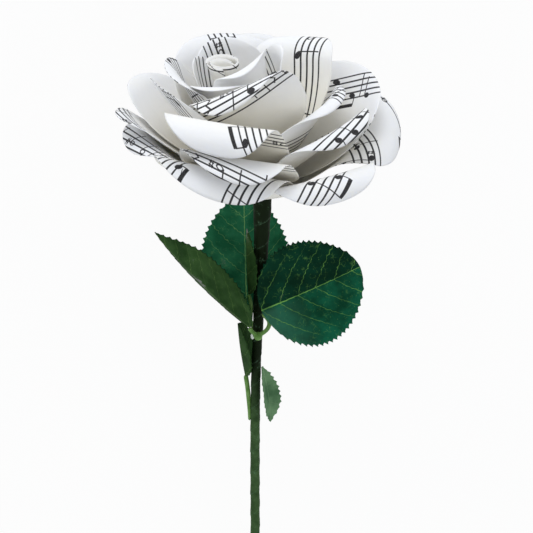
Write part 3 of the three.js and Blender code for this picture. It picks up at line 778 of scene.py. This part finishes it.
tape_mesh = bend_grid("stem_tape", 28, len(PROFILE) - 1, tape_point, (("tape", tape_map),))
tape = finish_piece("stem_tape", tape_mesh, (tape_material(),))
print(f"tape: {len(tape_mesh.polygons)} faces, past its CAD {fits(tape, 'stem_tape'):.2f} mm")

# %% [markdown]
# ## The leaves
# Bought leaves: starched cloth, printed dark blue-green on top and left olive underneath, with
# the veins pressed in by a hot mould. The mould also folds the leaf along its midrib. The
# edge is cut with about twenty teeth a side on the large leaves and ten on the small ones, and
# the teeth point to the tip.

# %% Leaf material
VEIN_SWEEP, VEIN_BEND, VEIN_SPACING = 0.75, 0.02, 3.1


def leaf_veins():
    tree, source, target = new_group("leaf veins", ["Leaf"], ["Midrib", "Side", "Net"])
    sums = partial(calculate, tree)
    leaf = source.outputs["Leaf"]
    across, along = split(tree, leaf)
    wander = noise(tree, leaf, 1.5, 2)
    wander = sums("SUBTRACT", wander, 0.5)
    out = sums("ABSOLUTE", sums("ADD", across, sums("MULTIPLY", wander, 0.5)))
    slender = ramp(tree, along, 0.0, 30.0, 1.0, 2.6)
    midrib = near(tree, sums("MULTIPLY", out, slender), 0.24, 0.12)
    # side veins leave the midrib at about 50 degrees and bend towards the tip
    swept = sums("SUBTRACT", along, sums("MULTIPLY", out, VEIN_SWEEP))
    swept = sums("SUBTRACT", swept, sums("MULTIPLY", sums("POWER", out, 2.0), VEIN_BEND))
    swept = sums("ADD", swept, sums("MULTIPLY", wander, 1.7))
    side = near(tree, sums("PINGPONG", swept, VEIN_SPACING), 0.09, 0.1)
    side = sums("MULTIPLY", side, ramp(tree, out, 14.5, 9.0))
    cells = tree.nodes.new("ShaderNodeTexVoronoi")
    cells.feature = "DISTANCE_TO_EDGE"
    cells.inputs["Scale"].default_value = 0.8
    tree.links.new(leaf, cells.inputs["Vector"])
    net = near(tree, cells.outputs["Distance"], 0.03, 0.04)
    broken = ramp(tree, noise(tree, leaf, 2.4, 3), 0.52, 0.66)
    # small raised points of the mould, rubbed bright
    points = tree.nodes.new("ShaderNodeTexVoronoi")
    points.inputs["Scale"].default_value = 0.9
    tree.links.new(leaf, points.inputs["Vector"])
    flecks = near(tree, points.outputs["Distance"], 0.11, 0.06)
    net = sums("MAXIMUM", sums("MULTIPLY", net, broken), flecks)
    for mark, value in (("Midrib", midrib), ("Side", side), ("Net", net)):
        tree.links.new(value, target.inputs[mark])
    return tree


VEINS = leaf_veins()


PAINTED_SHADE_GREEN = (0.001, 0.010, 0.0045, 1)
PAINTED_SHEEN_GREEN = (0.065, 0.20, 0.135, 1)
SCUFFED = (0.30, 0.33, 0.28, 1)
BARE_CLOTH = (0.24, 0.25, 0.23, 1)
RUBBED_AT, RUBBED_SIZE = (0.6, 21.8), (1.7, 3.2)


def leaf_side(name, deep, light, vein_colour, vein_share, roughness, rubbed=0.0, painted_shade_and_sheen=0.0):
    """One side of the cloth. Its last argument paints shade on the half that the fold turns away from the
    light, and a paler painted sheen at the foot of the other half.
    """
    material, tree, shader = new_material(name, roughness, 0.03)
    sums = partial(calculate, tree)
    leaf = map_place(tree, "leaf")
    across, along = split(tree, leaf)
    veins = use_group(tree, VEINS, Leaf=leaf)
    clouds = noise(tree, object_place(tree), 6 * MM, 3)
    weave = noise(tree, leaf, 0.28, 2)
    colour = blend_colours(tree, ramp(tree, clouds, 0.38, 0.66), deep, light)
    # painted shade on the half that the fold turns away from the light, and a painted sheen at the other half's
    # foot
    painted_half_shade = ramp(tree, across, 0.5, -0.5, 0.0, painted_shade_and_sheen)
    colour = blend_colours(tree, painted_half_shade, colour, PAINTED_SHADE_GREEN)
    foot = ramp(tree, along, 15.0, 1.0, 0.0, painted_shade_and_sheen * 0.6)
    foot = sums("MULTIPLY", foot, ramp(tree, across, 0.0, 1.5))
    colour = blend_colours(tree, foot, colour, PAINTED_SHEEN_GREEN)
    faint = ramp(tree, clouds, 0.35, 0.6, 0.45, 1.0)
    for mark, share in (("Net", 0.32), ("Side", 0.75), ("Midrib", 0.85)):
        shown = sums("MULTIPLY", sums("MULTIPLY", veins[mark], faint), vein_share * share)
        colour = blend_colours(tree, shown, colour, vein_colour)
    scuffed = sums("MULTIPLY", ramp(tree, clouds, 0.70, 0.76), ramp(tree, weave, 0.5, 0.62))
    colour = blend_colours(tree, sums("MULTIPLY", scuffed, 0.5), colour, SCUFFED)
    # one ragged place half way along, on the midrib, is rubbed through to the cloth
    ragged = sums("SUBTRACT", noise(tree, leaf, 1.1, 4, 0.7), 0.5)
    away = sums("MULTIPLY", ragged, 5.0)
    for place, middle, size in zip((across, along), RUBBED_AT, RUBBED_SIZE):
        off = sums("DIVIDE", sums("SUBTRACT", place, middle), size)
        away = sums("ADD", away, sums("POWER", off, 2.0))
    colour = blend_colours(tree, ramp(tree, away, 1.0, 0.4, 0.0, rubbed), colour, BARE_CLOTH)
    raised = sums("MAXIMUM", veins["Midrib"], veins["Side"])
    raised = sums("MAXIMUM", raised, sums("MULTIPLY", veins["Net"], 0.4))
    pressed = bump(tree, raised, 0.16 * MM, 0.7)
    paint(tree, shader, colour, bump(tree, weave, 0.04 * MM, 0.5, pressed))
    return material


# The right leaf's top: painted shade on one half and a painted sheen at the foot of the other.
LEAF_TOP = leaf_side(
    "leaf_top", (0.003, 0.048, 0.022, 1), (0.007, 0.112, 0.056, 1), (0.23, 0.52, 0.11, 1), 1.0, 0.45, 0.0, 0.72
)
# The back leaf's top is a lighter copy: painted light that makes up for the bloom's shadow on it.
LEAF_TOP_PAINTED_LIGHT = leaf_side(
    "leaf_top_painted_light", (0.011, 0.115, 0.050, 1), (0.030, 0.205, 0.094, 1), (0.30, 0.60, 0.20, 1), 1.0, 0.45
)
LEAF_UNDER = leaf_side(
    "leaf_under", (0.016, 0.048, 0.011, 1), (0.034, 0.084, 0.022, 1), (0.12, 0.22, 0.06, 1), 1.0, 0.66, 0.8
)
LEAF_GREY = leaf_side(
    "leaf_grey", (0.066, 0.150, 0.070, 1), (0.155, 0.285, 0.145, 1), (0.24, 0.40, 0.21, 1), 0.7, 0.60
)
print("each side of a leaf:", len(LEAF_TOP.node_tree.nodes), "nodes, and", len(VEINS.nodes), "for the veins")

# %% Leaf shapes
TOOTH, TOOTH_RISE, ROWS_PER_TOOTH, STALK_RADIUS, LEAF = 1.2, 0.75, 8, 0.75, 0.24
# name, length, width, fold, droop, teeth, foot beside the stem, along, facing
LEAVES = [
    ("leaf_right", 34, 33, 14, 18, 22, (0.55, -4.9, -40.2), (28.3, 0.2, 13.1), (0, -0.96, 0.28)),
    ("leaf_left", 42.6, 27, 16, -12, 22, (-2.7, -4.35, -46.8), (-32, 11, 24), (0.62, 0.64, 0.45)),
    ("leaf_back", 38, 27, 12, 10, 20, (-3.8, 6.0, -48), (-0.9, 18.5, 30), (0, -0.87, 0.5)),
    ("leaf_beside_stem", 22, 14, 20, -6, 10, (-3.72, 0.4, -37), (-1.4, 2, 19), (1, 0.1, 0.05)),
    ("small_leaf_left", 18.5, 13, 30, -8, 9, (-3.36, 0.2, -67.6), (-3.4, 2, 17), (1, -0.05, 0.15)),
    ("small_leaf_right", 20, 7.6, 24, 16, 11, (1.9, -0.7, -63.8), (4.4, -3.5, -17), (0.80, -0.6, 0.2)),
]
LEAF_FULLNESS = 0.58
RIPPLE, RIPPLE_SPACING = 0.10, 2.5
ROUND_TIPS = ("leaf_right", "leaf_back", "small_leaf_left")


def by_stem(right, back, height):
    return Vector((stem_middle(height) + right, back, height))


def leaf(name, length, width, fold, droop, teeth, foot, along, facing, materials):
    y = Vector(along).normalized()
    x = y.cross(Vector(facing)).normalized()
    z = x.cross(y)
    bend = math.radians(droop) / length + 1e-9

    def outline(a, b):
        t = (b + 1) / 2
        pointed = LEAF_FULLNESS + (0 if name in ROUND_TIPS else 0.5 * smooth((t - 0.5) / 0.5))
        widest = 1.3 if name == "small_leaf_right" else 0.9
        half = max(width / 2 * math.sin(math.pi * t ** widest) ** pointed, STALK_RADIUS * 0.6 * (1 - 0.7 * t))
        saw = (t * teeth) % 1.0
        saw = saw / TOOTH_RISE if saw < TOOTH_RISE else (1 - saw) / (1 - TOOTH_RISE)
        between_ends = smooth((t - 0.06) / 0.04) * smooth((0.99 - t) / 0.03)
        tooth = TOOTH * min(1, length / 30) * (saw - 0.2) * between_ends
        edge = max(0.0, (abs(a) - 0.85) / 0.15)
        return a * half + math.copysign(tooth * edge, a), t * length

    def surface(p, q):
        rise = math.tan(math.radians(fold)) * (math.sqrt(p * p + 0.25) - 0.5)
        swept = q - VEIN_SWEEP * abs(p) - VEIN_BEND * p * p
        rise += RIPPLE * math.cos(swept * math.pi / RIPPLE_SPACING) * smooth(abs(p) / 3)
        forward = math.sin(bend * q) / bend + rise * math.sin(bend * q)
        up = -(1 - math.cos(bend * q)) / bend + rise * math.cos(bend * q)
        return by_stem(*foot) + x * p + y * forward + z * up

    rows = teeth * ROWS_PER_TOOTH
    mesh = bend_grid(name, 40, rows, lambda a, b: surface(*outline(a, b)), (("leaf", outline),))
    piece = finish_piece(name, mesh, materials)
    thicken(piece, LEAF)
    return piece


OTHER_TOPS = {"small_leaf_right": LEAF_GREY, "leaf_back": LEAF_TOP_PAINTED_LIGHT}
OTHER_TOPS.update(leaf_beside_stem=LEAF_UNDER, small_leaf_left=LEAF_UNDER)
for name, *shape in LEAVES:
    piece = leaf(name, *shape, (OTHER_TOPS.get(name, LEAF_TOP), LEAF_UNDER))
    print(f"{name}: past its CAD {fits(piece, name):.2f} mm")

# %% [markdown]
# ## The stalks, the glue and the wire
# The stalks are moulded plastic sleeves in a lighter green, held to the stem by a dab of hot
# glue. The wire shows only where it was cut.

# %% Stalk, glue and wire materials
def stalk_material():
    material, tree, shader = new_material("leaf_stalk", 0.42, 0.2)
    place = object_place(tree)
    clouds = noise(tree, place, 3 * MM, 3)
    fine = noise(tree, place, 0.4 * MM, 3)
    green, light = (0.085, 0.205, 0.036, 1), (0.18, 0.34, 0.095, 1)
    colour = blend_colours(tree, ramp(tree, clouds, 0.35, 0.7), green, light)
    paint(tree, shader, colour, bump(tree, fine, 0.05 * MM, 0.6))
    tree.links.new(ramp(tree, fine, 0.3, 0.7, 0.34, 0.52), shader.inputs["Roughness"])
    return material


def glue_material():
    material, tree, shader = new_material("clear_glue", 0.28)
    clouds = noise(tree, object_place(tree), 0.9 * MM, 3)
    colour = blend_colours(tree, ramp(tree, clouds, 0.4, 0.65), (0.62, 0.68, 0.62, 1), (0.80, 0.83, 0.78, 1))
    paint(tree, shader, colour, bump(tree, clouds, 0.1 * MM, 0.6))
    shader.inputs["Coat Weight"].default_value = 0.5
    shader.inputs["Coat Roughness"].default_value = 0.12
    return material


def wire_material():
    material, tree, shader = new_material("stem_wire", 0.34)
    shader.inputs["Metallic"].default_value = 1.0
    drawn = noise(tree, object_place(tree), 0.15 * MM, 3)
    colour = blend_colours(tree, drawn, (0.30, 0.30, 0.29, 1), (0.50, 0.50, 0.49, 1))
    paint(tree, shader, colour, bump(tree, drawn, 0.02 * MM, 0.6))
    return material


# %% Stalks
STALK_OFFSET = TAPE_RADIUS + TAPE_STEP + SEAT + STALK_RADIUS
KNOT_HEIGHT, KNOT_RADIUS = -50.8, 1.2
KNOT = Vector((stem_middle(KNOT_HEIGHT), -(STALK_OFFSET + KNOT_RADIUS - STALK_RADIUS), KNOT_HEIGHT))
STALK = stalk_material()


def on_curve(points, t):
    """A point of the smooth line through these points, t from 0 to 1."""
    spans = len(points) - 1
    i = min(int(t * spans), spans - 1)
    u = t * spans - i
    p1, p2 = points[i], points[i + 1]
    p0 = points[i - 1] if i > 0 else p1 * 2 - p2
    p3 = points[i + 2] if i + 2 <= spans else p2 * 2 - p1
    return 0.5 * (2 * p1 + (p2 - p0) * u + (2 * p0 - 5 * p1 + 4 * p2 - p3) * u * u
                  + (3 * p1 - p0 - 3 * p2 + p3) * u ** 3)


def stalk_rule(points, radius, thin_foot=0.0):
    points = [Vector(point) for point in points]

    def rule(a, b):
        t = (b + 1) / 2
        middle = on_curve(points, t)
        ahead = on_curve(points, min(1.0, t + 0.01)) - on_curve(points, max(0.0, t - 0.01))
        ahead.normalize()
        side = ahead.cross(Vector((0.3, 1.0, 0.1))).normalized()
        other = ahead.cross(side)
        end = min(t, 1 - t) / 0.06
        size = radius * math.sqrt(max(0.0, 1 - (1 - min(end, 1.0)) ** 2))
        size *= 1 - thin_foot * (1 - smooth(t / 0.6))
        angle = a * math.pi
        return middle + (side * math.cos(angle) + other * math.sin(angle)) * size
    return rule


STALKS = {
    "leaf_stalk_back": [
        by_stem(0, STALK_OFFSET, -60), by_stem(0, STALK_OFFSET + 0.1, -54),
        by_stem(-2.09, 4.4, -50.6), by_stem(-3.6, 5.75, -48.7),
    ],
    "leaf_stalk_beside_stem": [
        by_stem(-0.94 * STALK_OFFSET, 0.34 * STALK_OFFSET, -48),
        by_stem(-0.97 * STALK_OFFSET, 0.24 * STALK_OFFSET, -42),
        by_stem(-3.62, 0.3, -37.5),
    ],
    "small_leaf_stalk": [
        by_stem(-1.85, 0, -85), by_stem(-2.05, 0, -79),
        by_stem(-2.5, 0, -73), by_stem(-3.3, 0.2, -67.4),
    ],
}
for name, points in STALKS.items():
    radius = STALK_RADIUS * (0.8 if name == "leaf_stalk_beside_stem" else 1.0)
    mesh = bend_grid(name, 14, 36, stalk_rule(points, radius, 0.4 if name == "small_leaf_stalk" else 0.0))
    piece = finish_piece(name, mesh, (STALK,))
    print(f"{name}: past its CAD {fits(piece, name):.2f} mm")

# %% The two front stalks and their knot
FRONT = [
    [KNOT, by_stem(-1.79, -3.9, KNOT_HEIGHT + 2), by_stem(-2.88, -4.3, KNOT_HEIGHT + 3.6)],
    [
        KNOT, by_stem(2.7, -3.6, KNOT_HEIGHT + 2.8), by_stem(3.2, -3.8, KNOT_HEIGHT + 5.8),
        by_stem(1.0, -4.45, KNOT_HEIGHT + 9.2),
    ],
]
bm = bmesh.new()
bmesh.ops.create_uvsphere(bm, u_segments=20, v_segments=14, radius=KNOT_RADIUS + 0.2)
for vert in bm.verts:
    lumpy = 1 + 0.05 * math.sin(vert.co.x * 5) * math.cos(vert.co.z * 4)
    vert.co = lay_down(vert.co * lumpy + KNOT)
for points in FRONT:
    part = bend_grid("stalk part", 14, 32, stalk_rule(points, STALK_RADIUS * 0.9))
    bm.from_mesh(part)
    bpy.data.meshes.remove(part)
front = finish_piece("leaf_stalks_front", finish_mesh("leaf_stalks_front", bm), (STALK,))
print(f"front stalks: past their CAD {fits(front, 'leaf_stalks_front'):.2f} mm")

# %% The drop of glue and the wire
GLUE_RADIUS, GLUE_STRETCH = 0.6, 2.1
GLUE_MIDDLE = Vector((KNOT.x - 1.75, -2.0, KNOT.z - 0.6))
bm = bmesh.new()
bmesh.ops.create_icosphere(bm, subdivisions=4, radius=GLUE_RADIUS)
for vert in bm.verts:
    x, y, z = vert.co
    lumpy = 1 + 0.10 * math.sin(x * 6 + 1) * math.sin(z * 5)
    vert.co = lay_down(Vector((x * lumpy, y * lumpy, z * GLUE_STRETCH)) + GLUE_MIDDLE)
glue = finish_piece("glue_drop", finish_mesh("glue_drop", bm), (glue_material(),))
print(f"glue: past its CAD {fits(glue, 'glue_drop'):.2f} mm")

wire = bpy.data.objects["stem_wire"]
wire.data.materials.clear()
wire.data.materials.append(wire_material())

# %% [markdown]
# ## The studio
# A pale table that goes white where the camera sees it, but keeps the rose's soft shadow, an
# even white room, and one large soft lamp up beyond the bloom on the left, as in the picture.

# %% Table and room
TABLE_HALF, TABLE_GREY, TABLE_LIFT = 1.5, 0.84, 0.93  # half its width in metres, grey, white added
ROOM_COLOUR, ROOM_STRENGTH = (0.95, 0.975, 1.0, 1), 0.80


def seen_directly(tree):
    """1 for what the camera sees, also in a shine, and 0 for light on its way between things."""
    paths = tree.nodes.new("ShaderNodeLightPath")
    return calculate(tree, "MAXIMUM", paths.outputs["Is Camera Ray"], paths.outputs["Is Glossy Ray"])


LOWEST = min(0.0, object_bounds()[0][2])
bm = bmesh.new()
bmesh.ops.create_grid(bm, x_segments=1, y_segments=1, size=TABLE_HALF)
floor_mesh = finish_mesh("table_top", bm)
table_top = bpy.data.objects.new("table_top", floor_mesh)
table_top.location.z = LOWEST
bpy.context.scene.collection.objects.link(table_top)
floor_material, floor_tree, floor_shader = new_material("table_white", 0.9)
floor_shader.inputs["Base Color"].default_value = (TABLE_GREY, TABLE_GREY, TABLE_GREY, 1)
white = floor_tree.nodes.new("ShaderNodeEmission")
white.inputs["Color"].default_value = (1, 1, 1, 1)
lift = floor_tree.nodes.new("ShaderNodeMixShader")
share = calculate(floor_tree, "MULTIPLY", seen_directly(floor_tree), TABLE_LIFT)
floor_tree.links.new(share, lift.inputs[0])
floor_tree.links.new(floor_shader.outputs[0], lift.inputs[1])
floor_tree.links.new(white.outputs[0], lift.inputs[2])
floor_tree.links.new(lift.outputs[0], floor_tree.nodes["Material Output"].inputs["Surface"])
floor_mesh.materials.append(floor_material)

room = bpy.data.worlds.new("room")
bpy.context.scene.world = room
room.use_nodes = True
room_tree = room.node_tree
room_light = room_tree.nodes["Background"]
room_light.inputs["Color"].default_value = ROOM_COLOUR
strength = ramp(room_tree, seen_directly(room_tree), 0.0, 1.0, ROOM_STRENGTH, 1.0)
room_tree.links.new(strength, room_light.inputs["Strength"])
print("the table is at", round(LOWEST / MM, 1), "mm, the room's light at", ROOM_STRENGTH)


# %% Lamp
def lamp(name, direction, distance, size, power, colour):
    light = bpy.data.lights.new(name, "AREA")
    light.size = size
    light.energy = power
    light.color = colour
    thing = bpy.data.objects.new(name, light)
    away = direction_at_rest(direction)
    thing.location = lay_down((0, 0, 20)) + away * distance
    thing.rotation_mode = "QUATERNION"
    thing.rotation_quaternion = away.to_track_quat("Z", "Y")
    bpy.context.scene.collection.objects.link(thing)
    print(name, "stands at", [round(v, 2) for v in thing.location])


lamp("window", (-0.20, -0.12, 1.0), distance=1.0, size=0.55, power=3.6, colour=(0.97, 0.985, 1.0))

# %% [markdown]
# ## The camera
# It looks at the bloom from its front side, 30 degrees above the bloom's own foot, which is
# nearly straight down on the table. Its frame is 164 mm wide at the rose.

# %% Camera
TARGET = (1.38, -11.73, -20.32)
TILT, DISTANCE = math.radians(30), 0.7
camera_data = bpy.data.cameras.new("camera")
camera_data.sensor_width = 36
camera_data.lens = 154.0
camera_data.clip_end = 10
camera = bpy.data.objects.new("camera", camera_data)
back = direction_at_rest((0, -math.cos(TILT), math.sin(TILT)))
up = direction_at_rest((0, math.sin(TILT), math.cos(TILT)))
right = up.cross(back)
turn = Matrix((right, up, back)).transposed()
camera.matrix_world = Matrix.Translation(lay_down(TARGET) + back * DISTANCE) @ turn.to_4x4()
bpy.context.scene.collection.objects.link(camera)
bpy.context.scene.camera = camera
bpy.context.scene.view_settings.view_transform = "Standard"
print("the camera is", round(math.degrees(math.asin(back.z)), 1), "degrees above the table")
